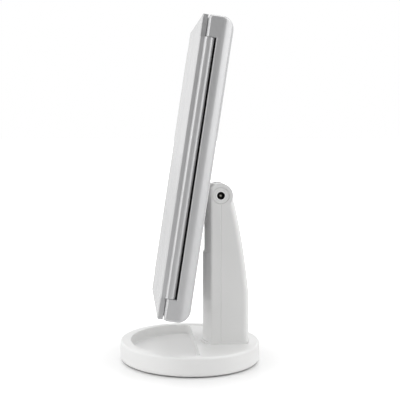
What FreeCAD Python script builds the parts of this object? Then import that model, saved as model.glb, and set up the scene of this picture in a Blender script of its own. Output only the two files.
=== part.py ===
import FreeCAD, Part
import math
import os
import re
import Sketcher

# Tri-fold lighted make-up mirror on a tray base.
# World frame: Z up, front of the mirror faces -Y, +X is the side with the power inlet.
# Panel frame: x across, y = depth behind the front plane of the closed wings, z = height along the panel.

os.makedirs("parts", exist_ok=True)
doc = FreeCAD.newDocument("TriFoldMirror")
V = FreeCAD.Vector

SIZES = {
    # base
    "base_width": 162, "base_depth": 118, "base_top": 16.5, "base_wall_bottom": 0.8, "rim_width": 9,
    "tray_floor": 7.5, "deck_level": 15.5, "divider_line": 4.5, "base_wall": 2.4, "plate_low": 1.2,
    "plate_high": 3.2, "foot_inset_x": 41, "foot_inset_y": 23, "foot_dia": 12,
    # column
    "column_half": 22, "seam_line": 24.8, "front_edge": 16.8, "front_bow": 5.45, "upper_bow": 4.2,
    "step_level": 91.5, "rear_line": 48.6, "rear_corner": 5.2, "knee_level": 58.5, "slant_top_y": 37.1,
    "slant_top_z": 131.5, "slant_angle": 8, "ear_radius": 10.2, "slot_half": 10.9, "slot_floor": 128.3,
    "column_wall": 2.4, "seam_bevel": 0.35,
    # hinge between column and panel
    "pivot_z": 140, "pivot_depth": 40.54, "pivot_drop": 19.75, "tilt_angle": 8.63,
    "trunnion_dia": 14, "barrel_radius": 9.7, "barrel_half": 10, "neck_half": 8.75, "socket_dia": 8.6,
    "socket_mouth": 6.5, "socket_inset": 1.3,
    # panel
    "panel_width": 176, "panel_height": 239, "panel_front": 4.8, "panel_back": 25.5,
    "notch_depth": 9.4, "notch_floor": 12.7, "end_block": 17.4, "frame_seat": 2.6, "back_wall": 2.4,
    "side_wall": 2.2, "back_round": 10.5, "mirror_glass": 1.5,
    # wings
    "wing_gap": 0.25, "wing_thick": 4.4, "wing_axis_inset": 3.7, "wing_axis_y": 6.2, "wing_barrel": 8.5,
    "barrel_shift": 1, "pin_dia": 2, "mirror_margin": 4, "play": 0.3,
    # door over the batteries
    "door_half_width": 31, "door_low": 22, "door_high": 84, "cell_dia": 14, "cell_pitch": 14.4,
    # screws
    "screw_shank": 2.8, "pilot_play": 0.06, "screw_clear": 3.2,
}

# Sizes that follow from the ones above.
DERIVED = {
    "tray_width": "base_width - 2 * rim_width",
    "tray_depth": "base_depth - 2 * rim_width",
    "foot_x": "base_width / 2 - foot_inset_x",
    "foot_y": "base_depth / 2 - foot_inset_y",
    "pivot_y": "seam_line",
    "pilot": "screw_shank + pilot_play",
    "ear_top": "pivot_z + ear_radius",
    "socket_face": "column_half - socket_inset",
    "inner_back": "panel_back - back_wall",
    "ledge": "panel_front + frame_seat",
    "half_wide": "panel_width / 2",
    "half_high": "panel_height / 2",
    "notch_x": "half_wide - notch_depth",
    "notch_half": "half_high - end_block",
    "opening_half": "notch_x - side_wall",
    "opening_end": "half_high - 3.2",
    "cavity_half": "opening_half - 2.4",
    "cavity_end": "opening_end - 2.4",
    "wing_axis_x": "half_wide - wing_axis_inset",
    "wing_edge": "half_wide - 2",
    "wing_barrel_x": "half_wide - wing_barrel / 2",
    "glass_half": "opening_half - 26.2",
    "glass_low": "half_high - 30",
    "glass_high": "half_high - 15",
    "window_in": "glass_half + 6",
    "window_out": "opening_half - 8.2",
    "lamp_x": "(window_in + window_out) / 2 - 0.5",
    "switch_z": "-half_high + 17.5",
    "screw_x": "opening_half - 8.2",
    "screw_z": "half_high - 16",
    "door_mid": "(door_low + door_high) / 2",
    "cell_y": "ledge + 8.9",
    "magnet_z": "half_high - 9",
}

sheet = doc.addObject("Spreadsheet::Sheet", "Sizes")
for row, (name, value) in enumerate(SIZES.items(), 1):
    sheet.set("A%d" % row, name)
    sheet.set("B%d" % row, str(value))
    sheet.setAlias("B%d" % row, name)
doc.recompute()

PANEL_PLACE = (
    "create(<<placement>>; create(<<vector>>; 0;"
    " pivot_y - pivot_depth * cos(tilt_angle * 1deg) + pivot_drop * sin(tilt_angle * 1deg);"
    " pivot_z + pivot_depth * sin(tilt_angle * 1deg) + pivot_drop * cos(tilt_angle * 1deg));"
    " create(<<rotation>>; create(<<vector>>; 1; 0; 0); -tilt_angle))"
)


def full_name(match):
    name = match.group()
    if name in DERIVED:
        return "(%s)" % text(DERIVED[name])
    return "Sizes." + name if name in SIZES else name


def text(expression):
    """Expression with every sheet name written in full."""
    return re.sub(r"(?<![.<\w])[A-Za-z_]\w*", full_name, str(expression))


def number(expression):
    """Present value of an expression."""
    value = sheet.evalExpression(text(expression))
    return float(getattr(value, "Value", value))


def bind(item, field, expression):
    item.setExpression(field, text(expression))


def new_body(label, on_panel=False):
    body = doc.addObject("PartDesign::Body", label)
    body.Label = label
    if on_panel:
        bind(body, "Placement", PANEL_PLACE)
    return body


def new_sketch(body, plane, level):
    """Sketch on an origin plane; level is the world-signed distance along the plane's own axis."""
    sketch = body.newObject("Sketcher::SketchObject", body.Label + "_sketch")
    role = {"XY": "XY_Plane", "XZ": "XZ_Plane", "YZ": "YZ_Plane"}[plane]
    face = [item for item in body.Origin.OriginFeatures if item.Role == role][0]
    sketch.AttachmentSupport = [(face, "")]
    sketch.MapMode = "FlatFace"
    sign = "-1" if plane == "XZ" else "1"
    bind(sketch, "AttachmentOffset.Base.z", "%s * (%s)" % (sign, level))
    return sketch


def fix(sketch, geometry, point, x, y):
    for kind, value in (("DistanceX", x), ("DistanceY", y)):
        index = sketch.addConstraint(Sketcher.Constraint(kind, -1, 1, geometry, point, number(value)))
        bind(sketch, "Constraints[%d]" % index, value)


def outline(sketch, corners):
    """Closed outline; a corner is (x, y) or (x, y, radius, turn) when an arc leads on from it."""
    count = len(corners)
    points = [V(number(c[0]), number(c[1]), 0) for c in corners]
    first = sketch.GeometryCount
    for k, corner in enumerate(corners):
        start = points[k]
        end = points[(k + 1) % count]
        if len(corner) == 2:
            sketch.addGeometry(Part.LineSegment(start, end), False)
            continue
        radius = number(corner[2])
        chord = end - start
        middle = (start + end) * 0.5
        side = V(-chord.y, chord.x, 0).normalize() * corner[3]
        offset = math.sqrt(max(radius ** 2 - (chord.Length / 2) ** 2, 0))
        centre = middle + side * offset
        first_end, last_end = (start, end) if corner[3] > 0 else (end, start)
        low = math.atan2(first_end.y - centre.y, first_end.x - centre.x)
        high = math.atan2(last_end.y - centre.y, last_end.x - centre.x)
        if high < low:
            high += 2 * math.pi
        sketch.addGeometry(Part.ArcOfCircle(Part.Circle(centre, V(0, 0, 1), radius), low, high), False)
    for k, corner in enumerate(corners):
        geometry = first + k
        if len(corner) == 2:
            fix(sketch, geometry, 1, corner[0], corner[1])
            fix(sketch, geometry, 2, *corners[(k + 1) % count][:2])
        else:
            ends = (1, 2) if corner[3] > 0 else (2, 1)
            fix(sketch, geometry, ends[0], corner[0], corner[1])
            fix(sketch, geometry, ends[1], *corners[(k + 1) % count][:2])
            index = sketch.addConstraint(Sketcher.Constraint("Radius", geometry, number(corner[2])))
            bind(sketch, "Constraints[%d]" % index, corner[2])


def box(sketch, x0, y0, x1, y1):
    outline(sketch, [(x0, y0), (x1, y0), (x1, y1), (x0, y1)])


def circle(sketch, x, y, diameter):
    geometry = sketch.addGeometry(Part.Circle(V(number(x), number(y), 0), V(0, 0, 1), number(diameter) / 2))
    fix(sketch, geometry, 3, x, y)
    index = sketch.addConstraint(Sketcher.Constraint("Diameter", geometry, number(diameter)))
    bind(sketch, "Constraints[%d]" % index, diameter)


def circles(sketch, places, diameter):
    for x, y in places:
        circle(sketch, x, y, diameter)


def oval(sketch, width, depth):
    """Ellipse about the origin, wider in x."""
    geometry = sketch.addGeometry(Part.Ellipse(V(0, 0, 0), number(width) / 2, number(depth) / 2), False)
    sketch.exposeInternalGeometry(geometry)
    sketch.addConstraint(Sketcher.Constraint("Coincident", geometry, 3, -1, 1))
    sketch.addConstraint(Sketcher.Constraint("Horizontal", geometry + 1))
    for line, size in ((geometry + 1, width), (geometry + 2, depth)):
        index = sketch.addConstraint(Sketcher.Constraint("Distance", line, number(size)))
        bind(sketch, "Constraints[%d]" % index, size)


def half_oval(sketch, width, depth, line, front):
    """Part of an oval on one side of a straight line across it."""
    a, b, y = number(width) / 2, number(depth) / 2, number(line)
    turn = math.asin(y / b)
    angles = (math.pi - turn, 2 * math.pi + turn) if front else (turn, math.pi - turn)
    arc = Part.ArcOfEllipse(Part.Ellipse(V(0, 0, 0), a, b), *angles)
    x = a * math.cos(turn)
    left, right = V(-x, y, 0), V(x, y, 0)
    geometry = sketch.addGeometry(arc, False)
    straight = (right, left) if front else (left, right)
    sketch.addGeometry(Part.LineSegment(*straight), False)
    sketch.addConstraint(Sketcher.Constraint("Coincident", geometry, 2, geometry + 1, 1))
    sketch.addConstraint(Sketcher.Constraint("Coincident", geometry + 1, 2, geometry, 1))
    sketch.addConstraint(Sketcher.Constraint("Horizontal", geometry + 1))
    sketch.addConstraint(Sketcher.Constraint("Coincident", geometry, 3, -1, 1))
    index = sketch.addConstraint(Sketcher.Constraint("DistanceY", -1, 1, geometry + 1, 1, y))
    bind(sketch, "Constraints[%d]" % index, line)
    sketch.exposeInternalGeometry(geometry)
    sketch.addConstraint(Sketcher.Constraint("Horizontal", geometry + 2))
    for axis, size in ((geometry + 2, width), (geometry + 3, depth)):
        index = sketch.addConstraint(Sketcher.Constraint("Distance", axis, number(size)))
        bind(sketch, "Constraints[%d]" % index, size)


def pad(body, sketch, length, both=False, back=False):
    feature = body.newObject("PartDesign::Pad", body.Label + "_pad")
    feature.Profile = sketch
    bind(feature, "Length", length)
    feature.SideType = "Symmetric" if both else "One side"
    feature.Reversed = back
    sketch.Visibility = False
    doc.recompute()
    return feature


def cut(body, sketch, length, both=False, back=False):
    before = body.Shape.Volume
    feature = body.newObject("PartDesign::Pocket", body.Label + "_pocket")
    feature.Profile = sketch
    bind(feature, "Length", length)
    feature.SideType = "Symmetric" if both else "One side"
    feature.Reversed = back
    sketch.Visibility = False
    doc.recompute()
    assert body.Shape.Volume < before - 1e-3, "%s: pocket removes nothing" % feature.Name
    return feature


def spin(body, sketch, axis):
    feature = body.newObject("PartDesign::Revolution", body.Label + "_turned")
    feature.Profile = sketch
    feature.ReferenceAxis = (sketch, [axis])
    feature.Angle = 360
    sketch.Visibility = False
    doc.recompute()
    return feature


def soften(body, radius, test, kind="Fillet"):
    """Round or bevel every edge of the body's tip for which the test holds."""
    tip = body.Tip
    names = []
    for index, edge in enumerate(tip.Shape.Edges, 1):
        box_ = edge.BoundBox
        if test(box_, edge):
            names.append("Edge%d" % index)
    assert names, "%s: no edge to soften" % body.Label
    feature = body.newObject("PartDesign::" + kind, body.Label + "_" + kind.lower())
    feature.Base = (tip, names)
    bind(feature, "Radius" if kind == "Fillet" else "Size", radius)
    doc.recompute()
    return feature


def flat(box_, axis, level, tolerance=0.02):
    """Edge lies wholly at one level along an axis."""
    low = getattr(box_, axis + "Min")
    high = getattr(box_, axis + "Max")
    return abs(low - level) < tolerance and abs(high - level) < tolerance


def screws(label, plane, places, seat, head, shank, head_dia, shank_dia, up, on_panel=False):
    """Cross-head screws; the shank runs from the seat along the plane's axis, up or down."""
    body = new_body(label, on_panel)
    sign = 1 if up else -1
    flip = plane == "XZ"
    sketch = new_sketch(body, plane, seat)
    circles(sketch, places, head_dia)
    pad(body, sketch, head, back=(up != flip))
    sketch = new_sketch(body, plane, seat)
    circles(sketch, places, shank_dia)
    pad(body, sketch, shank, back=(up == flip))
    sketch = new_sketch(body, plane, "%s + %d * (%s)" % (seat, -sign, head))
    for x, y in places:
        a, b = 1.6, 0.35
        outline(sketch, [("%s + %g" % (x, dx), "%s + %g" % (y, dy)) for dx, dy in (
            (-b, -a), (b, -a), (b, -b), (a, -b), (a, b), (b, b), (b, a), (-b, a), (-b, b), (-a, b), (-a, -b),
            (-b, -b))])
    cut(body, sketch, "0.6 * (%s)" % head, back=(up != flip))
    return body


# ---------------------------------------------------------------- base
RING_X = "(base_width / 2 - 6.4) * 0.7071"
RING_Y = "(base_depth / 2 - 6.4) * 0.7071"
BASE_SCREWS = [(RING_X, "-" + RING_Y), ("-" + RING_X, "-" + RING_Y), ("base_width / 2 - 13", "divider_line + 9.5"),
               ("-base_width / 2 + 13", "divider_line + 9.5"), ("0", "base_depth / 2 - 7.8")]
POST_X = "column_half - 5.2"
FOOT_SCREWS = [(POST_X, "seam_line - 3.9"), ("-(%s)" % POST_X, "seam_line - 3.9"),
               (POST_X, "rear_line - 13.6"), ("-(%s)" % POST_X, "rear_line - 13.6")]
REAR_SCREWS = [("0", "deck_level + 26"), ("0", "slot_floor - 18.8")]
FEET = [(x + "foot_x", y + "foot_y") for x in ("", "-") for y in ("", "-")]


def base_tray():
    body = new_body("base_tray")
    sketch = new_sketch(body, "XY", "base_wall_bottom")
    oval(sketch, "base_width", "base_depth")
    pad(body, sketch, "base_top - base_wall_bottom")
    top = number("base_top")
    low = number("base_wall_bottom")
    soften(body, 2.0, lambda b, e: flat(b, "Z", top))
    soften(body, 2.2, lambda b, e: flat(b, "Z", low))
    # the tray itself, then the shallow step down to the rear deck
    sketch = new_sketch(body, "XY", "base_top")
    half_oval(sketch, "tray_width", "tray_depth", "divider_line", True)
    cut(body, sketch, "base_top - tray_floor")
    floor = number("tray_floor")
    line = number("divider_line")
    soften(body, 5, lambda b, e: 8.5 < b.ZLength < 9.5 and b.XLength < 0.1 and b.YMin > line - 0.1)
    soften(body, 1.4, lambda b, e: flat(b, "Z", floor))
    sketch = new_sketch(body, "XY", "base_top")
    oval(sketch, "tray_width", "tray_depth")
    cut(body, sketch, "base_top - deck_level")
    soften(body, 0.6, lambda b, e: flat(b, "Z", top) and b.XLength > 80)
    # hollow underside: ring and rear chamber first, then the shallow space below the tray floor
    sketch = new_sketch(body, "XY", "base_wall_bottom")
    oval(sketch, "base_width - 2 * base_wall", "base_depth - 2 * base_wall")
    half_oval(sketch, "tray_width + 2 * base_wall", "tray_depth + 2 * base_wall",
              "divider_line + base_wall", True)
    cut(body, sketch, "deck_level - 2 - base_wall_bottom", back=True)
    sketch = new_sketch(body, "XY", "base_wall_bottom")
    half_oval(sketch, "tray_width + 2 * base_wall + 0.2", "tray_depth + 2 * base_wall + 0.2",
              "divider_line + base_wall + 0.1", True)
    cut(body, sketch, "tray_floor - 2 - base_wall_bottom", back=True)
    sketch = new_sketch(body, "XY", "plate_high")
    circles(sketch, BASE_SCREWS, 5.6)
    pad(body, sketch, "deck_level - 1.5 - plate_high")
    sketch = new_sketch(body, "XY", "plate_high")
    circles(sketch, BASE_SCREWS, "pilot")
    cut(body, sketch, "deck_level - 2 - plate_high", back=True)
    sketch = new_sketch(body, "XY", "deck_level")
    circles(sketch, FOOT_SCREWS, 3.2)
    cut(body, sketch, 3)
    # cable way between the column and the chamber below the deck
    sketch = new_sketch(body, "XY", "deck_level")
    circle(sketch, 0, "seam_line + 5.5", 8)
    cut(body, sketch, 3)
    return body


def base_bottom_plate():
    body = new_body("base_bottom_plate")
    sketch = new_sketch(body, "XY", "plate_low")
    oval(sketch, "base_width - 2 * base_wall - 0.6", "base_depth - 2 * base_wall - 0.6")
    pad(body, sketch, "plate_high - plate_low")
    sketch = new_sketch(body, "XY", "plate_low")
    circles(sketch, FEET, "foot_dia + 0.2")
    cut(body, sketch, 0.6, back=True)
    sketch = new_sketch(body, "XY", "plate_low")
    circles(sketch, BASE_SCREWS, 5.7)
    cut(body, sketch, 1, back=True)
    sketch = new_sketch(body, "XY", "plate_high")
    circles(sketch, BASE_SCREWS, 3.2)
    cut(body, sketch, 3)
    low = number("plate_low")
    soften(body, 0.4, lambda b, e: flat(b, "Z", low) and b.XLength > 60, "Chamfer")
    return body


def base_weights():
    body = new_body("base_weights")
    sketch = new_sketch(body, "XY", "plate_high")
    oval(sketch, "base_width - 34", "base_depth - 20")
    pad(body, sketch, 6)
    sketch = new_sketch(body, "XY", "plate_high + 6")
    box(sketch, "-base_width / 2", "-base_depth / 2", "base_width / 2", "divider_line + 5")
    cut(body, sketch, 6)
    sketch = new_sketch(body, "XY", "plate_high + 6")
    box(sketch, "-column_half - 2", 0, "column_half + 2", "base_depth / 2")
    cut(body, sketch, 6)
    high = number("plate_high + 6")
    soften(body, 0.6, lambda b, e: flat(b, "Z", high), "Chamfer")
    return body


def rubber_feet():
    body = new_body("rubber_feet")
    sketch = new_sketch(body, "XY", 0)
    circles(sketch, FEET, "foot_dia")
    pad(body, sketch, "plate_low + 0.6")
    soften(body, 0.5, lambda b, e: flat(b, "Z", 0))
    return body


# ---------------------------------------------------------------- column
def bow_radius(bow):
    return "((column_half ^ 2 + (%s) ^ 2) / (2 * (%s)))" % (bow, bow)


def ear_bores(body):
    """Bore for the trunnions and the hollow inside both ears."""
    sketch = new_sketch(body, "YZ", 0)
    circle(sketch, "pivot_y", "pivot_z", "trunnion_dia + 0.1")
    cut(body, sketch, "3 * column_half", both=True)
    for side in (1, -1):
        sketch = new_sketch(body, "YZ", "%d * (slot_half + column_wall)" % side)
        circle(sketch, "pivot_y", "pivot_z", "2 * ear_radius - 2 * column_wall")
        cut(body, sketch, "column_half - slot_half - 2 * column_wall", back=(side > 0))


def seam_groove(body):
    """Small bevel where the two shells meet down the side faces."""
    half = number("column_half")
    seam = number("seam_line")
    soften(body, "seam_bevel", lambda b, e: flat(b, "Y", seam) and b.ZLength > 40
           and (flat(b, "X", half) or flat(b, "X", -half)), "Chamfer")


def column_front_shell():
    body = new_body("column_front_shell")
    sketch = new_sketch(body, "XY", "deck_level")
    outline(sketch, [("-column_half", "seam_line"), ("-column_half", "front_edge", bow_radius("front_bow"), 1),
                     ("column_half", "front_edge"), ("column_half", "seam_line")])
    pad(body, sketch, "ear_top - deck_level")
    half = number("column_half")
    edge = number("front_edge")
    soften(body, 2.2, lambda b, e: flat(b, "Y", edge) and b.ZLength > 40)
    # the upper part is bowed less, which leaves a small step in front
    sketch = new_sketch(body, "XY", "ear_top")
    outline(sketch, [("-column_half", "front_edge", bow_radius("upper_bow"), 1), ("column_half", "front_edge"),
                     ("column_half", "front_edge - 15"), ("-column_half", "front_edge - 15")])
    cut(body, sketch, "ear_top - step_level")
    # round top of the ears
    sketch = new_sketch(body, "YZ", 0)
    outline(sketch, [("seam_line", "ear_top", "ear_radius", 1), ("pivot_y - ear_radius", "pivot_z"),
                     ("pivot_y - ear_radius - 12", "pivot_z"), ("pivot_y - ear_radius - 12", "ear_top + 9"),
                     ("seam_line", "ear_top + 9")])
    cut(body, sketch, "3 * column_half", both=True)
    # slot between the ears and the hollow below it
    sketch = new_sketch(body, "XY", "ear_top")
    box(sketch, "-slot_half", "front_edge - 20", "slot_half", "seam_line + 1")
    cut(body, sketch, "ear_top - slot_floor")
    sketch = new_sketch(body, "XY", "slot_floor - column_wall")
    wall = "(column_half - column_wall)"
    outline(sketch, [("-" + wall, "seam_line + 1"),
                     ("-" + wall, "front_edge + 2.6", "(%s ^ 2 + 4.2 ^ 2) / 8.4" % wall, 1),
                     (wall, "front_edge + 2.6"), (wall, "seam_line + 1")])
    cut(body, sketch, "slot_floor - column_wall - deck_level")
    ear_bores(body)
    seam_groove(body)
    # screw posts
    sketch = new_sketch(body, "XY", "deck_level")
    circles(sketch, FOOT_SCREWS[:2], 6.8)
    pad(body, sketch, 16)
    sketch = new_sketch(body, "XY", "deck_level")
    circles(sketch, FOOT_SCREWS[:2], "pilot")
    cut(body, sketch, 12.6, back=True)
    sketch = new_sketch(body, "XZ", "seam_line")
    for x, z in REAR_SCREWS:
        box(sketch, x + " - 3.5", z + " - 4", x + " + 3.5", z + " + 4")
    pad(body, sketch, "seam_line - front_edge + upper_bow - column_wall + 1")
    sketch = new_sketch(body, "XZ", "seam_line")
    circles(sketch, REAR_SCREWS, "pilot")
    cut(body, sketch, 8.5, back=True)
    # low flared foot
    sketch = new_sketch(body, "XY", "deck_level")
    flare = "(column_half + 0.8)"
    outline(sketch, [("-column_half", "seam_line"), ("-" + flare, "seam_line"),
                     ("-" + flare, "front_edge - 0.4", "(%s ^ 2 + 6.8 ^ 2) / 13.6" % flare, 1),
                     (flare, "front_edge - 0.4"), (flare, "seam_line"), ("column_half", "seam_line"),
                     ("column_half", "front_edge + 2.4", "(column_half ^ 2 + 7 ^ 2) / 14", -1),
                     ("-column_half", "front_edge + 2.4")])
    pad(body, sketch, 1.3)
    return body


def column_rear_shell():
    body = new_body("column_rear_shell")
    sketch = new_sketch(body, "XY", "deck_level")
    box(sketch, "-column_half", "seam_line", "column_half", "rear_line")
    pad(body, sketch, "ear_top - deck_level")
    sketch = new_sketch(body, "YZ", 0)
    outline(sketch, [("rear_line", "knee_level", 600, 1), ("slant_top_y", "slant_top_z"),
                     ("pivot_y + ear_radius * cos(slant_angle)", "pivot_z - ear_radius * sin(slant_angle)",
                      "ear_radius", 1),
                     ("seam_line", "ear_top"), ("seam_line", "ear_top + 9"), ("rear_line + 20", "ear_top + 9"),
                     ("rear_line + 20", "knee_level")])
    cut(body, sketch, "3 * column_half", both=True)
    half = number("column_half")
    rear = number("slant_top_y")
    for side in (half, -half):
        soften(body, "rear_corner", lambda b, e: flat(b, "X", side) and b.YMin > rear - 0.1 and b.ZLength > 20)
    sketch = new_sketch(body, "XY", "ear_top")
    box(sketch, "-slot_half", "seam_line - 1", "slot_half", "rear_line + 5")
    cut(body, sketch, "ear_top - slot_floor")
    # the hollow follows the slanted rear wall
    sketch = new_sketch(body, "YZ", 0)
    outline(sketch, [("seam_line - 1", "deck_level"), ("rear_line - column_wall", "deck_level"),
                     ("rear_line - column_wall", "knee_level - 2"),
                     ("slant_top_y - 2.2", "slot_floor - column_wall"),
                     ("seam_line - 1", "slot_floor - column_wall")])
    cut(body, sketch, "2 * (column_half - column_wall)", both=True)
    ear_bores(body)
    seam_groove(body)
    sketch = new_sketch(body, "XY", "deck_level")
    circles(sketch, FOOT_SCREWS[2:], 6.8)
    pad(body, sketch, 16)
    sketch = new_sketch(body, "XY", "deck_level")
    circles(sketch, FOOT_SCREWS[2:], "pilot")
    cut(body, sketch, 12.6, back=True)
    # posts that meet the front shell, with counterbored screw seats
    sketch = new_sketch(body, "XZ", "seam_line")
    circle(sketch, *REAR_SCREWS[0], 8)
    pad(body, sketch, "rear_line - seam_line - 1", back=True)
    sketch = new_sketch(body, "XZ", "seam_line")
    circle(sketch, *REAR_SCREWS[1], 8)
    pad(body, sketch, "slant_top_y - seam_line + 3", back=True)
    sketch = new_sketch(body, "XZ", "seam_line + 8")
    circles(sketch, REAR_SCREWS, 6)
    cut(body, sketch, 30)
    sketch = new_sketch(body, "XZ", "seam_line")
    circles(sketch, REAR_SCREWS, "screw_clear")
    cut(body, sketch, 30)
    sketch = new_sketch(body, "XY", "deck_level")
    for side in ("", "-"):
        box(sketch, "%scolumn_half" % side, "seam_line", "%s(column_half + 0.8)" % side,
            "rear_line - rear_corner")
    pad(body, sketch, 1.3)
    return body


# ---------------------------------------------------------------- tilting hinge
NECK_SCREWS = [(x, z) for x in ("barrel_half + 4", "-barrel_half - 4")
               for z in ("-pivot_drop - 6.5", "-pivot_drop + 6.5")]


def tilt_neck():
    body = new_body("tilt_neck", True)
    sketch = new_sketch(body, "YZ", 0)
    circle(sketch, "pivot_depth", "-pivot_drop", "2 * barrel_radius")
    pad(body, sketch, "2 * barrel_half", both=True)
    sketch = new_sketch(body, "YZ", 0)
    box(sketch, "panel_back", "-pivot_drop - neck_half", "pivot_depth", "-pivot_drop + neck_half")
    pad(body, sketch, "2 * barrel_half", both=True)
    # plug through the shell and flange inside it
    sketch = new_sketch(body, "YZ", 0)
    box(sketch, "inner_back - 0.2", "-pivot_drop - neck_half + 1", "panel_back",
        "-pivot_drop + neck_half - 1")
    pad(body, sketch, "2 * barrel_half - 2", both=True)
    sketch = new_sketch(body, "XZ", "inner_back")
    box(sketch, "-barrel_half - 9", "-pivot_drop - 11.5", "barrel_half + 9", "-pivot_drop + 11.5")
    pad(body, sketch, 2.6)
    sketch = new_sketch(body, "YZ", 0)
    circle(sketch, "pivot_depth", "-pivot_drop", "trunnion_dia")
    pad(body, sketch, "2 * (column_half - 0.1)", both=True)
    edge = number("column_half - 0.1")
    soften(body, 0.5, lambda b, e: flat(b, "X", edge) or flat(b, "X", -edge), "Chamfer")
    # sockets in the trunnion ends and a wire way to the panel
    sketch = new_sketch(body, "YZ", "column_half - 0.1")
    circle(sketch, "pivot_depth", "-pivot_drop", "socket_dia")
    cut(body, sketch, 17)
    sketch = new_sketch(body, "YZ", "-(column_half - 0.1)")
    circle(sketch, "pivot_depth", "-pivot_drop", 9.9)
    cut(body, sketch, 3, back=True)
    sketch = new_sketch(body, "XZ", "inner_back - 3")
    circle(sketch, "barrel_half - 3", "-pivot_drop", 3.4)
    cut(body, sketch, "pivot_depth - inner_back + 3")
    sketch = new_sketch(body, "XZ", "inner_back - 2.6")
    circles(sketch, NECK_SCREWS, "screw_clear")
    cut(body, sketch, 2.6)
    return body


def friction_washers():
    body = new_body("friction_washers", True)
    for side in (1, -1):
        sketch = new_sketch(body, "YZ", "%d * barrel_half" % side)
        circle(sketch, "pivot_depth", "-pivot_drop", "2 * barrel_radius - 0.8")
        circle(sketch, "pivot_depth", "-pivot_drop", "trunnion_dia + 0.06")
        pad(body, sketch, 0.5, back=(side < 0))
    return body


def dc_jack():
    body = new_body("dc_jack", True)
    sketch = new_sketch(body, "YZ", "socket_face")
    circle(sketch, "pivot_depth", "-pivot_drop", "socket_dia - 0.1")
    pad(body, sketch, 13.2, back=True)
    sketch = new_sketch(body, "YZ", "socket_face")
    circle(sketch, "pivot_depth", "-pivot_drop", "socket_mouth")
    cut(body, sketch, 9.5)
    sketch = new_sketch(body, "YZ", "socket_face - 9.5")
    circle(sketch, "pivot_depth", "-pivot_drop", 2.1)
    pad(body, sketch, 8.2)
    tip = number("socket_face - 1.3")
    soften(body, 0.4, lambda b, e: flat(b, "X", tip))
    return body


def jack_ring():
    body = new_body("jack_ring", True)
    sketch = new_sketch(body, "YZ", "socket_face")
    circle(sketch, "pivot_depth", "-pivot_drop", "socket_dia - 0.1")
    circle(sketch, "pivot_depth", "-pivot_drop", "socket_mouth")
    pad(body, sketch, 1.4)
    edge = number("column_half + 0.1")
    soften(body, 0.4, lambda b, e: flat(b, "X", edge))
    return body


def pivot_end_cap():
    body = new_body("pivot_end_cap", True)
    sketch = new_sketch(body, "YZ", "-column_half - 0.1")
    circle(sketch, "pivot_depth", "-pivot_drop", 9.8)
    pad(body, sketch, 3)
    edge = number("-column_half - 0.1")
    soften(body, 0.6, lambda b, e: flat(b, "X", edge))
    return body


# ---------------------------------------------------------------- panel
PANEL_SCREWS = [(x, z) for z in ("screw_z", "-screw_z", "0") for x in ("screw_x", "-screw_x")]
FRAME_MAGNETS = [(x, z) for x in ("10", "-10") for z in ("magnet_z", "-magnet_z")]
PIN_ENDS = [("wing_axis_x", "wing_axis_y"), ("-wing_axis_x", "wing_axis_y")]


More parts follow.
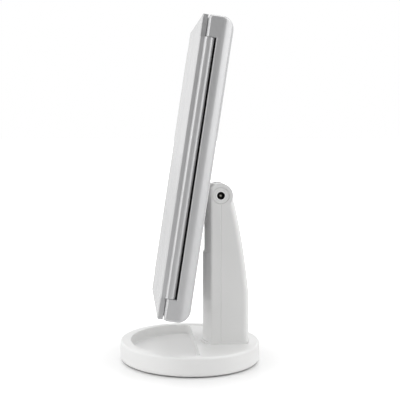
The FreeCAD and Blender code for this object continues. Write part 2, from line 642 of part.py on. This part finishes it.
def rear_shell():
    body = new_body("rear_shell", True)
    sketch = new_sketch(body, "XZ", "panel_back")
    box(sketch, "-half_wide", "-half_high", "half_wide", "half_high")
    pad(body, sketch, "panel_back - panel_front")
    back = number("panel_back")
    front = number("panel_front")
    soften(body, "back_round", lambda b, e: flat(b, "Y", back))
    soften(body, 2, lambda b, e: not flat(b, "Y", front) and b.YMin < front + 1 and b.YLength > 5)
    wide = number("half_wide")
    soften(body, 2.8, lambda b, e: flat(b, "Y", front) and b.ZLength > 100 and b.XLength < 0.1)
    # inside: wide shallow space by the back wall, then the well the front frame drops into
    sketch = new_sketch(body, "XZ", "panel_front")
    box(sketch, "-opening_half", "-opening_end", "opening_half", "opening_end")
    cut(body, sketch, "ledge - panel_front")
    sketch = new_sketch(body, "XZ", "ledge")
    box(sketch, "-cavity_half", "-cavity_end", "cavity_half", "cavity_end")
    cut(body, sketch, "inner_back - ledge")
    inner = number("inner_back")
    soften(body, 5, lambda b, e: flat(b, "Y", inner))
    # hinge notches down both sides
    sketch = new_sketch(body, "XZ", "panel_front")
    for side in ("", "-"):
        box(sketch, "%snotch_x" % side, "-notch_half", "%s(half_wide + 5)" % side, "notch_half")
    cut(body, sketch, "notch_floor - panel_front")
    floor = number("notch_floor")
    soften(body, 0.6, lambda b, e: flat(b, "Y", floor) and b.ZLength > 100 and
           (flat(b, "X", wide) or flat(b, "X", -wide)), "Chamfer")
    # holes for the hinge pins, from both end faces
    for level, back_ in (("half_high", False), ("-half_high", True)):
        sketch = new_sketch(body, "XY", level)
        circles(sketch, PIN_ENDS, "pin_dia + 0.06")
        cut(body, sketch, "end_block", back=back_)
    # opening for the neck, battery bay and screw seats in the back wall
    sketch = new_sketch(body, "XZ", "inner_back")
    box(sketch, "-barrel_half + 0.9", "-pivot_drop - neck_half + 0.9", "barrel_half - 0.9",
        "-pivot_drop + neck_half - 0.9")
    box(sketch, "-door_half_width + 2", "door_low + 2", "door_half_width - 2", "door_high - 2")
    cut(body, sketch, "back_wall")
    sketch = new_sketch(body, "XZ", "panel_back - 1.4")
    box(sketch, "-door_half_width - 0.3", "door_low - 0.3", "door_half_width + 0.3", "door_high + 0.3")
    cut(body, sketch, 1.4)
    sketch = new_sketch(body, "XZ", "inner_back")
    circles(sketch, NECK_SCREWS, "pilot")
    cut(body, sketch, "back_wall - 0.4")
    # side chambers behind the hinge notches
    sketch = new_sketch(body, "XZ", "notch_floor + 2.4")
    box(sketch, "-half_wide + 5", "-half_high + 9", "half_wide - 5", "half_high - 9")
    cut(body, sketch, 4.6)
    # posts for the front frame screws, bored from the back
    sketch = new_sketch(body, "XZ", "inner_back + 0.5")
    circles(sketch, PANEL_SCREWS, 9)
    pad(body, sketch, 3.5)
    sketch = new_sketch(body, "XZ", "inner_back - 2")
    circles(sketch, PANEL_SCREWS, 6.2)
    cut(body, sketch, 10)
    sketch = new_sketch(body, "XZ", "inner_back - 3")
    circles(sketch, PANEL_SCREWS, "screw_clear")
    cut(body, sketch, 10)
    return body


def front_frame():
    body = new_body("front_frame", True)
    sketch = new_sketch(body, "XZ", "ledge")
    box(sketch, "-opening_half + play", "-opening_end + play", "opening_half - play", "opening_end - play")
    pad(body, sketch, "frame_seat")
    # seat for the centre mirror, windows for the lights, hole for the switch
    sketch = new_sketch(body, "XZ", "panel_front")
    box(sketch, "-glass_half - play", "-glass_low - play", "glass_half + play", "glass_high + play")
    cut(body, sketch, "mirror_glass - 0.1")
    sketch = new_sketch(body, "XZ", "panel_front")
    for side in ("", "-"):
        box(sketch, "%s(window_in - play)" % side, "-glass_low - play", "%s(window_out + play)" % side,
            "glass_high + play")
    cut(body, sketch, 1.4)
    sketch = new_sketch(body, "XZ", "panel_front")
    for side in ("", "-"):
        box(sketch, "%s(window_in + 1.5)" % side, "-glass_low + 1.5", "%s(window_out - 1.5)" % side,
            "glass_high - 1.5")
    circle(sketch, 0, "switch_z", 11.6)
    box(sketch, "-glass_half + 12", "-glass_low + 29", "glass_half - 12", "glass_high - 14")
    cut(body, sketch, 5)
    sketch = new_sketch(body, "XZ", "panel_front")
    circles(sketch, FRAME_MAGNETS, 6.1)
    cut(body, sketch, 1.5)
    # screw posts reaching back to the rear shell posts
    sketch = new_sketch(body, "XZ", "inner_back - 3")
    circles(sketch, PANEL_SCREWS, 7.5)
    pad(body, sketch, "inner_back - 3 - ledge + 0.5")
    sketch = new_sketch(body, "XZ", "ledge")
    circles(sketch, PANEL_SCREWS, "pilot")
    cut(body, sketch, "inner_back - ledge")
    return body


def plate(label, corners, near, far, on_panel=True):
    """Flat plate in the panel frame between two depths."""
    body = new_body(label, on_panel)
    sketch = new_sketch(body, "XZ", far)
    for item in corners:
        box(sketch, *item)
    pad(body, sketch, "(%s) - (%s)" % (far, near))
    return body


def round_corners(body, radius):
    soften(body, radius, lambda b, e: b.YLength > 1 and b.XLength < 0.1 and b.ZLength < 0.1)


def centre_mirror():
    body = plate("centre_mirror", [("-glass_half", "-glass_low", "glass_half", "glass_high")],
                 "panel_front - 0.1", "panel_front - 0.1 + mirror_glass")
    round_corners(body, 2)
    return body


def light_windows():
    body = plate("light_windows", [(s + "window_in", "-glass_low", s + "window_out", "glass_high")
                                   for s in ("", "-")], "panel_front", "panel_front + 1.4")
    round_corners(body, 1)
    return body


def led_boards():
    """Lamp strips fixed on the back of the frame; their front face carries the lamps."""
    body = plate("led_boards", [(s + "(window_in - 0.5)", "-glass_low - 2", s + "(window_out + 0.5)",
                                 "glass_high - 8") for s in ("", "-")], "ledge", "ledge + 1.2")
    sketch = new_sketch(body, "XZ", "ledge")
    circles(sketch, PANEL_SCREWS[4:], 9)
    cut(body, sketch, 3)
    return body


def leds():
    first = "(-glass_low + 5)"
    body = plate("leds", [(s + "(lamp_x - 1.75)", first + " - 1.4", s + "(lamp_x + 1.75)", first + " + 1.4")
                          for s in ("", "-")], "ledge - 0.8", "ledge")
    row = body.newObject("PartDesign::LinearPattern", "leds_row")
    row.Originals = [body.Tip]
    row.Direction = (body.Tip.Profile[0], ["V_Axis"])
    bind(row, "Length", "glass_low + glass_high - 16")
    row.Occurrences = 11
    body.Tip = row
    doc.recompute()
    return body


def touch_button():
    body = new_body("touch_button", True)
    sketch = new_sketch(body, "XZ", "panel_front + 1.2")
    circle(sketch, 0, "switch_z", 11)
    pad(body, sketch, 1.4)
    face = number("panel_front - 0.2")
    soften(body, 0.4, lambda b, e: flat(b, "Y", face))
    sketch = new_sketch(body, "XZ", "ledge")
    circle(sketch, 0, "switch_z", 9)
    pad(body, sketch, "ledge - panel_front - 1.2")
    return body


def control_board():
    low, high = "(switch_z - 7)", "(switch_z + 9)"
    body = plate("control_board", [(-16, low, 16, high)], "ledge", "ledge + 1.4")
    sketch = new_sketch(body, "XZ", "ledge + 3.2")
    box(sketch, -4, low + " + 4", 4, high + " - 5")
    box(sketch, 8, low + " + 2", 12, high + " - 2")
    pad(body, sketch, 1.8)
    return body


CELL_TURNS = [(1.5, -1), (0.5, 1), (-0.5, -1), (-1.5, 1)]


def cell_height(k):
    return "(door_mid - 0.05 - %g * cell_pitch)" % k


def battery_box():
    """Open tray moulded to hold the cells; its rim sits on the back wall of the shell."""
    body = new_body("battery_box", True)
    sketch = new_sketch(body, "XZ", "inner_back")
    box(sketch, "-door_half_width + 0.2", "door_low + 0.2", "door_half_width - 0.2", "door_high - 0.2")
    pad(body, sketch, "inner_back - ledge - 0.6")
    sketch = new_sketch(body, "XZ", "ledge + 1.8")
    box(sketch, -26.6, "door_low + 2.2", 26.6, "door_high - 2.2")
    cut(body, sketch, "inner_back - ledge")
    return body


def battery_cells():
    body = new_body("battery_cells", True)
    for k, side in CELL_TURNS:
        sketch = new_sketch(body, "YZ", -side * 24.4)
        circle(sketch, "cell_y", cell_height(k), "cell_dia")
        pad(body, sketch, 49.2, back=(side < 0))
        sketch = new_sketch(body, "YZ", side * 24.8)
        circle(sketch, "cell_y", cell_height(k), 5.4)
        pad(body, sketch, 1.3, back=(side < 0))
    return body


def battery_contacts():
    boxes = []
    for side in (1, -1):
        for k, turn in CELL_TURNS:
            boxes.append((side * 26.6, cell_height(k) + " - 5", side * 26.1, cell_height(k) + " + 5"))
    body = plate("battery_contacts", boxes, "ledge + 3.6", "ledge + 14")
    for k, side in CELL_TURNS:
        sketch = new_sketch(body, "YZ", -side * 26.2)
        circle(sketch, "cell_y", cell_height(k), 7)
        circle(sketch, "cell_y", cell_height(k), 5)
        pad(body, sketch, 1.8, back=(side < 0))
    return body


def battery_door():
    body = plate("battery_door", [("-door_half_width", "door_low", "door_half_width", "door_high")],
                 "panel_back - 1.1", "panel_back")
    back = number("panel_back")
    soften(body, 0.5, lambda b, e: flat(b, "Y", back))
    sketch = new_sketch(body, "XZ", "panel_back - 0.5")
    for drop in (8, 11.5, 15):
        box(sketch, -9, "door_high - %g" % (drop + 2), 9, "door_high - %g" % drop)
    cut(body, sketch, 1)
    return body


def hinge_pins():
    body = new_body("hinge_pins", True)
    for level, back_ in (("half_high - 0.6", True), ("-half_high + 0.6", False)):
        sketch = new_sketch(body, "XY", level)
        circles(sketch, PIN_ENDS, "pin_dia")
        pad(body, sketch, "end_block + 10", back=back_)
    return body


# ---------------------------------------------------------------- wings
def wing_shell(label, side, mirrors):
    """Folding wing: thin moulded plate with a hinge barrel down its outer edge."""
    body = new_body(label, True)
    sign = "" if side > 0 else "-"
    half = "half_high"
    sketch = new_sketch(body, "XZ", "wing_thick")
    relief = "(2 * wing_axis_x - half_wide - play)"
    barrel = "(notch_half - play)"
    x0, x1, x2 = sign + "wing_gap", sign + relief, sign + "wing_edge"
    outline(sketch, [(x0, "-" + half), (x1, "-" + half), (x1, "-" + barrel), (x2, "-" + barrel),
                     (x2, barrel), (x1, barrel), (x1, half), (x0, half)])
    pad(body, sketch, "wing_thick")
    inner = side * number("wing_gap")
    soften(body, 3, lambda b, e: b.YLength > 4 and flat(b, "X", inner) and b.ZLength < 0.1)
    soften(body, 0.9, lambda b, e: flat(b, "Y", 0))
    sketch = new_sketch(body, "XY", "-" + barrel)
    circle(sketch, sign + "wing_barrel_x", "wing_axis_y + barrel_shift", "wing_barrel")
    pad(body, sketch, "2 * " + barrel)
    # web that joins barrel and plate
    sketch = new_sketch(body, "XY", "-" + barrel)
    outline(sketch, [(sign + "(wing_axis_x - 2.6)", "wing_thick - 1.8"), (sign + "wing_axis_x", "wing_thick - 1.8"),
                     (sign + "wing_axis_x", "wing_axis_y"), (sign + "(wing_axis_x - 2.6)", "wing_axis_y - 1.2")])
    pad(body, sketch, "2 * " + barrel)
    for level, back_ in ((barrel, False), ("-" + barrel, True)):
        sketch = new_sketch(body, "XY", level)
        circle(sketch, sign + "wing_axis_x", "wing_axis_y", "pin_dia + 0.06")
        cut(body, sketch, 11.5, back=back_)
    for x0, z0, x1, z1 in mirrors:
        sketch = new_sketch(body, "XZ", "wing_thick - 0.1 - mirror_glass")
        box(sketch, x0 + " - play", z0 + " - play", x1 + " + play", z1 + " + play")
        cut(body, sketch, "mirror_glass + 0.1")
    sketch = new_sketch(body, "XZ", "wing_thick - 1.5")
    circles(sketch, [(side * 10, "magnet_z"), (side * 10, "-magnet_z")], 6.1)
    cut(body, sketch, 1.5)
    return body


def wing_glass(label, x0, z0, x1, z1):
    body = plate(label, [(x0, z0, x1, z1)], "wing_thick - 0.1 - mirror_glass", "wing_thick - 0.1")
    round_corners(body, 1.5)
    return body


def magnets(label, places, near, far):
    body = new_body(label, True)
    sketch = new_sketch(body, "XZ", far)
    circles(sketch, places, 6)
    pad(body, sketch, "(%s) - (%s)" % (far, near))
    return body


# ---------------------------------------------------------------- build
bodies = [base_tray(), base_bottom_plate(), base_weights(), rubber_feet()]
bodies.append(screws("base_screws", "XY", BASE_SCREWS, "plate_low + 1", 0.9, "deck_level - plate_low - 4", 5,
                     "screw_shank", True))
bodies += [column_front_shell(), column_rear_shell()]
bodies.append(screws("column_screws", "XZ", REAR_SCREWS, "seam_line + 8", 2, 15, 5.4, "screw_shank", False))
bodies.append(screws("foot_screws", "XY", FOOT_SCREWS, "deck_level - 2", 2, 12, 5.4, "screw_shank", True))
bodies += [tilt_neck(), friction_washers(), dc_jack(), jack_ring(), pivot_end_cap()]
bodies += [rear_shell(), front_frame()]
bodies += [centre_mirror(), light_windows(), led_boards(), leds(), touch_button(), control_board()]
bodies += [battery_box(), battery_cells(), battery_contacts(), battery_door(), hinge_pins()]
bodies.append(screws("panel_screws", "XZ", PANEL_SCREWS, "inner_back - 2", 2, 12, 5.4, "screw_shank", False,
                     True))
bodies.append(screws("neck_screws", "XZ", NECK_SCREWS, "inner_back - 2.6", 1.8, 4.4, 5.4, "screw_shank", True,
                     True))
near, far = "wing_gap + 5.75", "notch_x - mirror_margin - 0.4"
low, high = "-half_high + 14.5", "half_high - 14.5"
upper = ("-(%s)" % far, "5", "-(%s)" % near, high)
lower = ("-(%s)" % far, low, "-(%s)" % near, "-5")
whole = (near, low, far, high)
bodies.append(wing_shell("left_wing", -1, [upper, lower]))
bodies.append(wing_glass("left_mirror_upper", *upper))
bodies.append(wing_glass("left_mirror_lower", *lower))
bodies.append(wing_shell("right_wing", 1, [whole]))
bodies.append(wing_glass("right_mirror", *whole))
bodies.append(magnets("left_magnets", [("-10", "magnet_z"), ("-10", "-magnet_z")], "wing_thick - 1.5", "wing_thick"))
bodies.append(magnets("right_magnets", [("10", "magnet_z"), ("10", "-magnet_z")], "wing_thick - 1.5", "wing_thick"))
bodies.append(magnets("frame_magnets", FRAME_MAGNETS, "panel_front", "panel_front + 1.5"))
doc.recompute()

for body in bodies:
    assert not [s for s in body.State if s in ("Invalid", "Error")], body.Label
    assert body.Shape.isValid() and body.Shape.Volume > 0, body.Label
for item in doc.Objects:
    assert "Invalid" not in item.State and "Error" not in item.State, item.Label
for body in bodies:
    body.Shape.exportStep("parts/%s.step" % body.Label)
    b = body.Shape.BoundBox
    print("%-20s %2d solids %9.1f mm3  %s" % (body.Label, len(body.Shape.Solids), body.Shape.Volume,
          [round(v, 2) for v in (b.XMin, b.YMin, b.ZMin, b.XMax, b.YMax, b.ZMax)]))
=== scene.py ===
import math

import bmesh
import bpy
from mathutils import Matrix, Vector


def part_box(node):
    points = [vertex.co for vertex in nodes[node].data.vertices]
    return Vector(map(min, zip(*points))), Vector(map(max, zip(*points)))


# Tri-fold lighted make-up mirror on a tabletop stand, folded shut. Metres, Z up, front faces -Y.
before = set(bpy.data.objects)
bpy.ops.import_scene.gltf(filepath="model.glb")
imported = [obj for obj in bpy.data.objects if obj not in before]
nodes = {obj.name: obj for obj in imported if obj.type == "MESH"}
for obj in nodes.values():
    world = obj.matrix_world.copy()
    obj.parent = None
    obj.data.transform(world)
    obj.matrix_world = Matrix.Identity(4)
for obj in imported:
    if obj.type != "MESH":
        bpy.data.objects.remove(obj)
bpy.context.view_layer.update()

# ---- Base tray -----------------------------------------------------------------------------
# Oval tray that the stand grows out of: a thin shell moulded in ABS, open from below, with a
# shallow hollow in front for small things and a flat deck behind it for the column.


def linear(hex_code):
    """sRGB hex colour as linear RGBA."""
    parts = [int(hex_code[i:i + 2], 16) / 255 for i in (1, 3, 5)]
    return tuple(c / 12.92 if c <= 0.04045 else ((c + 0.055) / 1.055) ** 2.4 for c in parts) + (1.0,)


def add(tree, kind, links=None, **values):
    """Adds a node, sets its properties and sockets, and links the sockets named in links."""
    node = tree.nodes.new(kind)
    for name, value in values.items():
        if hasattr(node, name):
            setattr(node, name, value)
        else:
            node.inputs[name.replace("_", " ")].default_value = value
    for name, source in (links or {}).items():
        tree.links.new(source, node.inputs[name])
    return node


def blank(name):
    """New material with a bare surface shader, and the coordinates of the piece in metres."""
    material = bpy.data.materials.new(name)
    material.use_nodes = True
    tree = material.node_tree
    tree.nodes.clear()
    shader = tree.nodes.new("ShaderNodeBsdfPrincipled")
    output = tree.nodes.new("ShaderNodeOutputMaterial")
    tree.links.new(shader.outputs[0], output.inputs[0])
    where = tree.nodes.new("ShaderNodeTexCoord").outputs["Object"]
    return material, tree, shader, where


def moulded(name, low, high, rough, ior=1.54, peel=0.00003, pearl=0.0):
    """Moulded plastic: its tone drifts over centimetres between two colours, and the mould leaves
    a fine skin. The real skin is finer than a millimetre and is drawn coarser, so that it shows."""
    drift_size, skin_size, skin_depth = 0.0714, 0.00111, 0.12
    low_end, high_end = 0.35, 0.65
    material, tree, shader, where = blank(name)
    drift = add(tree, "ShaderNodeTexNoise", {"Vector": where}, Scale=1 / drift_size, Detail=3)
    ramp = add(tree, "ShaderNodeValToRGB", {"Fac": drift.outputs["Fac"]})
    for stop, place, tone in zip(ramp.color_ramp.elements, (low_end, high_end), (low, high)):
        stop.position = place
        stop.color = linear(tone)
    tree.links.new(ramp.outputs["Color"], shader.inputs["Base Color"])
    skin = add(tree, "ShaderNodeTexNoise", {"Vector": where}, Scale=1 / skin_size, Detail=2)
    gloss = add(tree, "ShaderNodeMapRange", {"Value": skin.outputs["Fac"]}, To_Min=rough - 0.03,
                To_Max=rough + 0.04)
    tree.links.new(gloss.outputs["Result"], shader.inputs["Roughness"])
    bump = add(tree, "ShaderNodeBump", {"Height": skin.outputs["Fac"]}, Strength=skin_depth,
               Distance=peel)
    tree.links.new(bump.outputs["Normal"], shader.inputs["Normal"])
    shader.inputs["IOR"].default_value = ior
    shader.inputs["Metallic"].default_value = pearl
    return material


def dress(name, material, angle=32):
    """Finish of a piece: one material, and smooth shading between its sharp edges."""
    node = nodes[name]
    node.data.materials.clear()
    node.data.materials.append(material)
    for face in node.data.polygons:
        face.use_smooth = True
    node.data.set_sharp_from_angle(angle=math.radians(angle))
    weighted = node.modifiers.new("weighted_normals", "WEIGHTED_NORMAL")
    weighted.keep_sharp = True


# gloss ABS from a polished mould: clean white with soft highlights
white_abs = moulded("white_abs_gloss", "#ebebea", "#efefee", 0.3)
dress("base_tray", white_abs)

# ---- Bottom plate --------------------------------------------------------------------------
# Flat cover that closes the tray from below, moulded in the same ABS in an unpolished mould and
# held by five screws.

# ABS from an unpolished mould: greyer and dull
inner_abs = moulded("white_abs_plain", "#dcdcda", "#e2e2e0", 0.5)
dress("base_bottom_plate", inner_abs)

# ---- Ballast -------------------------------------------------------------------------------
# Two slugs cut from steel plate that lie in the rear of the base and keep the panel from
# tipping it.


def drawn_metal(name, hex_code, rough):
    """Bare or plated metal. Drawing or rolling leaves fine lines that vary its shine."""
    line_width, line_length = 0.000185, 0.00278
    material, tree, shader, where = blank(name)
    stretch = add(tree, "ShaderNodeMapping", {"Vector": where})
    stretch.inputs["Scale"].default_value = (1 / line_width, 1 / line_length, 1 / line_length)
    lines = add(tree, "ShaderNodeTexNoise", {"Vector": stretch.outputs["Vector"]}, Scale=1, Detail=4)
    gloss = add(tree, "ShaderNodeMapRange", {"Value": lines.outputs["Fac"]}, To_Min=rough * 0.75,
                To_Max=rough * 1.35)
    tree.links.new(gloss.outputs["Result"], shader.inputs["Roughness"])
    shader.inputs["Base Color"].default_value = linear(hex_code)
    shader.inputs["Metallic"].default_value = 1.0
    return material


# plain steel, cut and turned: mid grey with a blurred shine
steel = drawn_metal("plain_steel", "#9b9c9f", 0.38)
dress("base_weights", steel)

# ---- Feet ----------------------------------------------------------------------------------
# Four round pads of moulded rubber, glued into the bottom plate.

# moulded rubber: near black, with a coarse dull skin
foot_rubber = moulded("black_foot_rubber", "#151515", "#1c1c1c", 0.75, ior=1.5, peel=0.0004)
dress("rubber_feet", foot_rubber)

# ---- Screws --------------------------------------------------------------------------------
# Self-tapping screws with cross recesses: through the bottom plate, up into the foot of the
# column, through the column from behind, and through the back of the panel and the neck's flange.

# zinc-plated steel: pale grey with a slight shine
zinc = drawn_metal("zinc_plated_steel", "#b9bcc0", 0.3)
for screws in ("base_screws", "foot_screws", "column_screws", "panel_screws", "neck_screws"):
    dress(screws, zinc)

# ---- Column --------------------------------------------------------------------------------
# Front and rear shell that meet on a vertical seam, moulded in the same gloss ABS as the base.
# Their two ears hold the tilting hinge.
for shell in ("column_front_shell", "column_rear_shell"):
    dress(shell, white_abs)

# ---- Tilting hinge -------------------------------------------------------------------------
# Neck moulded in gloss ABS, screwed to the panel and turning between the ears on steel washers
# whose friction holds the tilt. A plug closes its far end.
for piece in ("tilt_neck", "pivot_end_cap"):
    dress(piece, white_abs)
dress("friction_washers", steel)

# ---- Power socket --------------------------------------------------------------------------
# Barrel socket on the axis of the hinge, moulded in black PBT round a nickel-plated contact pin,
# with a white ring pressed round its mouth.


def paint(name, material, test):
    """Second finish on the faces of a dressed piece whose centre and normal pass the test."""
    mesh = nodes[name].data
    mesh.materials.append(material)
    slot = len(mesh.materials) - 1
    for face in mesh.polygons:
        if test(face.center, face.normal):
            face.material_index = slot


# moulded PBT: black, half matt
black_pbt = moulded("black_pbt_socket", "#0b0b0b", "#101010", 0.4)
# nickel plate: warm pale grey, bright
nickel = drawn_metal("nickel_plate", "#c9c6bd", 0.25)
# gloss ABS painted brighter than the column round it: a painted highlight for the light that the ring's
# bevel catches
ring_painted_highlight = moulded("white_ring_painted_highlight", "#fafaf9", "#fdfdfd", 0.2)
pin_radius = 0.0013
socket_low, socket_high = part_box("dc_jack")
axis_y, axis_z = [(socket_low[i] + socket_high[i]) / 2 for i in (1, 2)]
dress("dc_jack", black_pbt)
paint("dc_jack", nickel,
      lambda centre, normal: math.hypot(centre.y - axis_y, centre.z - axis_z) < pin_radius)
# painted highlight: the ring is brighter than the column round it
dress("jack_ring", ring_painted_highlight)

# ---- Rear shell ----------------------------------------------------------------------------
# Back of the panel with rounded edges, moulded in pearl white ABS, its tone painted darker as shade.
# A notch down each side takes the hinge of a wing, and the wall of each notch is painted black as
# the shade deep in the gap behind the hinge.

# ABS with pearl pigment and broad metallic highlights. Its tone is painted darker than the stand
# as shade, for the dimmer light that falls on the panel
pearl_abs_painted_shade = moulded("pearl_white_abs_shaded", "#c6c6c7", "#cacacb", 0.24, pearl=0.45)
# painted shade: black and matt, for the shadow deep in each notch
notch_painted_shade = moulded("notch_painted_shade_black", "#050505", "#080808", 0.7)
notch_depth, reach, square_on = 0.0094, 0.0004, 0.99
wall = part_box("rear_shell")[1][0] - notch_depth
dress("rear_shell", pearl_abs_painted_shade)
# painted shade: the notch walls turn black where the gap behind the hinge lies in shadow
paint("rear_shell", notch_painted_shade,
      lambda centre, normal: abs(normal.x) > square_on and abs(abs(centre.x) - wall) < reach)

# ---- Front frame ---------------------------------------------------------------------------
# Flat frame in gloss ABS that carries the middle mirror and the lights. The touch switch shows
# through it below the mirror.
for piece in ("front_frame", "touch_button"):
    dress(piece, white_abs)

# ---- Mirrors -------------------------------------------------------------------------------
# Sheets of float glass, silvered on the back: one in the middle, one in the right wing, and two
# magnifying ones in the left wing.

# silvered glass: a sharp reflection with the faint green of the glass
silvered_glass = drawn_metal("silvered_glass", "#e4e8e8", 0.02)
for mirror in ("centre_mirror", "left_mirror_upper", "left_mirror_lower", "right_mirror"):
    dress(mirror, silvered_glass)

# ---- Lights --------------------------------------------------------------------------------
# A strip with lamps stands on each side of the middle mirror behind an opal window, and the board
# of the touch switch feeds both.

# cast acrylic: milky and half gloss, so that the lamps behind don't show
opal = moulded("opal_acrylic", "#f0f0ec", "#f6f6f2", 0.35, ior=1.49)
# printed lacquer on a circuit board: dark green gloss
solder_mask = moulded("green_solder_mask", "#123d20", "#1a4a28", 0.3, ior=1.52)
# silicone with phosphor: egg yellow while the lamp is off
phosphor = moulded("lamp_phosphor", "#e6c84a", "#efd35c", 0.3)
dress("light_windows", opal)
for board in ("led_boards", "control_board"):
    dress(board, solder_mask)
dress("leds", phosphor)

# ---- Batteries -----------------------------------------------------------------------------
# Four AA cells lie across an open box moulded in plain ABS, between nickel-plated contacts. A
# snap-in door in pearl white ABS closes it in the back of the panel.

# shrunk plastic film on a cell: dark grey gloss
sleeve = moulded("cell_sleeve", "#2a2a2c", "#343436", 0.3)
dress("battery_box", inner_abs)
dress("battery_contacts", nickel)
dress("battery_cells", sleeve)
# bare metal ends, square to the cells
paint("battery_cells", nickel, lambda centre, normal: abs(normal.x) > 0.9)
# painted shade: the door's tone is darker than the stand, as on the rear shell
dress("battery_door", pearl_abs_painted_shade)

# ---- Wings ---------------------------------------------------------------------------------
# Two thin plates in pearl white ABS that fold over the front. Each turns on two steel pins, and
# plated magnets in it and in the frame hold it shut.
# painted shade: the wings' tone is darker than the stand, as on the rear shell
for wing in ("left_wing", "right_wing"):
    dress(wing, pearl_abs_painted_shade)
dress("hinge_pins", steel)
for magnets in ("left_magnets", "right_magnets", "frame_magnets"):
    dress(magnets, nickel)

# ---- Floor ---------------------------------------------------------------------------------
# Wide sheet of pale gloss laminate. Seen straight on it turns plain white away from the base, and
# it keeps the base's shadow and reflection near it.
floor_half_size = 30
floor_mesh = bpy.data.meshes.new("floor")
edit = bmesh.new()
bmesh.ops.create_grid(edit, x_segments=8, y_segments=8, size=floor_half_size)
edit.to_mesh(floor_mesh)
edit.free()
floor = bpy.data.objects.new("floor", floor_mesh)
bpy.context.scene.collection.objects.link(floor)

floor_paint, tree, shader, where = blank("pale_studio_floor")
shader.inputs["Base Color"].default_value = linear("#f4f4f4")
shader.inputs["Roughness"].default_value = 0.1
shader.inputs["Specular IOR Level"].default_value = 0.5
shader.inputs["Emission Color"].default_value = (1, 1, 1, 1)
# distance from the middle of the base, as a multiple of its half width and half depth
base_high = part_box("base_tray")[1]
fade_start, fade_end = 1.05, 4.3
faintest, plain_white = 0.04, 1.0
squash = add(tree, "ShaderNodeVectorMath", {0: where}, operation="MULTIPLY")
squash.inputs[1].default_value = (1 / base_high[0], 1 / base_high[1], 0)
away = add(tree, "ShaderNodeVectorMath", {0: squash.outputs[0]}, operation="LENGTH")
fade = add(tree, "ShaderNodeMapRange", {"Value": away.outputs["Value"]}, From_Min=fade_start,
           From_Max=fade_end, To_Min=faintest, To_Max=plain_white)
path = add(tree, "ShaderNodeLightPath")
lift = add(tree, "ShaderNodeMath", {0: path.outputs["Is Camera Ray"], 1: fade.outputs["Result"]},
           operation="MULTIPLY")
tree.links.new(lift.outputs[0], shader.inputs["Emission Strength"])
floor_mesh.materials.append(floor_paint)

# ---- Room ----------------------------------------------------------------------------------
# White room, darker towards +X, so that the sides facing that way keep some tone. It is plain
# white to the eye.
world = bpy.data.worlds.new("studio")
bpy.context.scene.world = world
world.use_nodes = True
tree = world.node_tree
tree.nodes.clear()
direction = add(tree, "ShaderNodeTexCoord")
split = add(tree, "ShaderNodeSeparateXYZ", {"Vector": direction.outputs["Generated"]})
dark_start, dark_end = 0.25, 0.95
mirrored_dark, lighting_dark = 0.15, 0.55
room_light = 0.6
shades = [add(tree, "ShaderNodeMapRange", {"Value": split.outputs["X"]}, From_Min=dark_start,
              From_Max=dark_end, To_Min=1.0, To_Max=darkest) for darkest in (mirrored_dark, lighting_dark)]
mirrored = add(tree, "ShaderNodeBackground", {"Color": shades[0].outputs[0]}, Strength=1.0)
lighting = add(tree, "ShaderNodeBackground", {"Color": shades[1].outputs[0]}, Strength=room_light)
plain = add(tree, "ShaderNodeBackground", Color=(1, 1, 1, 1), Strength=1.0)
path = add(tree, "ShaderNodeLightPath")
sight = add(tree, "ShaderNodeMath", {0: path.outputs["Is Glossy Ray"],
                                     1: path.outputs["Is Transmission Ray"]}, operation="MAXIMUM")
room = add(tree, "ShaderNodeMixShader", {0: sight.outputs[0], 1: lighting.outputs[0],
                                         2: mirrored.outputs[0]})
whole = add(tree, "ShaderNodeMixShader", {0: path.outputs["Is Camera Ray"], 1: room.outputs[0],
                                          2: plain.outputs[0]})
add(tree, "ShaderNodeOutputWorld", {"Surface": whole.outputs[0]})

# ---- Lights of the studio ------------------------------------------------------------------
# Large softboxes in front, behind and above. The front one isn't mirrored in the object, where it
# would turn the wings and mirrors plain white. The narrow strip beside it draws the bright line
# down the wing hinge.


def softbox(name, place, target, width, height, power):
    """Flat lamp at a place, aimed at a target. Metres and watts."""
    data = bpy.data.lights.new(name, "AREA")
    data.shape = "RECTANGLE"
    data.size = width
    data.size_y = height
    data.energy = power
    light = bpy.data.objects.new(name, data)
    light.location = place
    light.rotation_euler = (Vector(target) - Vector(place)).to_track_quat("-Z", "Y").to_euler()
    bpy.context.scene.collection.objects.link(light)
    return light


middle = (0, 0, 0.14)
front_light = softbox("front_softbox", (0.45, -1.6, 0.7), middle, 2.3, 2.0, 12)
front_light.visible_glossy = False
softbox("strip_light", (0.75, -1.4, 0.4), middle, 0.5, 1.8, 4.5)
softbox("rear_softbox", (0.45, 1.6, 0.7), middle, 2.3, 2.0, 16)
softbox("top_softbox", (0, 0, 1.8), (0, 0, 0.1), 1.6, 1.6, 10)

# ---- Camera --------------------------------------------------------------------------------
# It stands nearly a metre away on the side of the power socket, at two thirds of the object's
# height, and looks slightly down and towards the back.
camera_data = bpy.data.cameras.new("camera")
camera_data.sensor_width = 36
camera_data.lens = 99.09
camera_data.clip_start = 0.01
camera_data.clip_end = 200
camera = bpy.data.objects.new("camera", camera_data)
camera.location = (0.93168, -0.05577, 0.19140)
turn, drop = math.radians(3.969), math.radians(3.442)
forward = Vector((-math.cos(turn) * math.cos(drop), math.sin(turn) * math.cos(drop), -math.sin(drop)))
camera.rotation_euler = forward.to_track_quat("-Z", "Y").to_euler()
bpy.context.scene.collection.objects.link(camera)
bpy.context.scene.camera = camera
bpy.context.scene.view_settings.view_transform = "Standard"
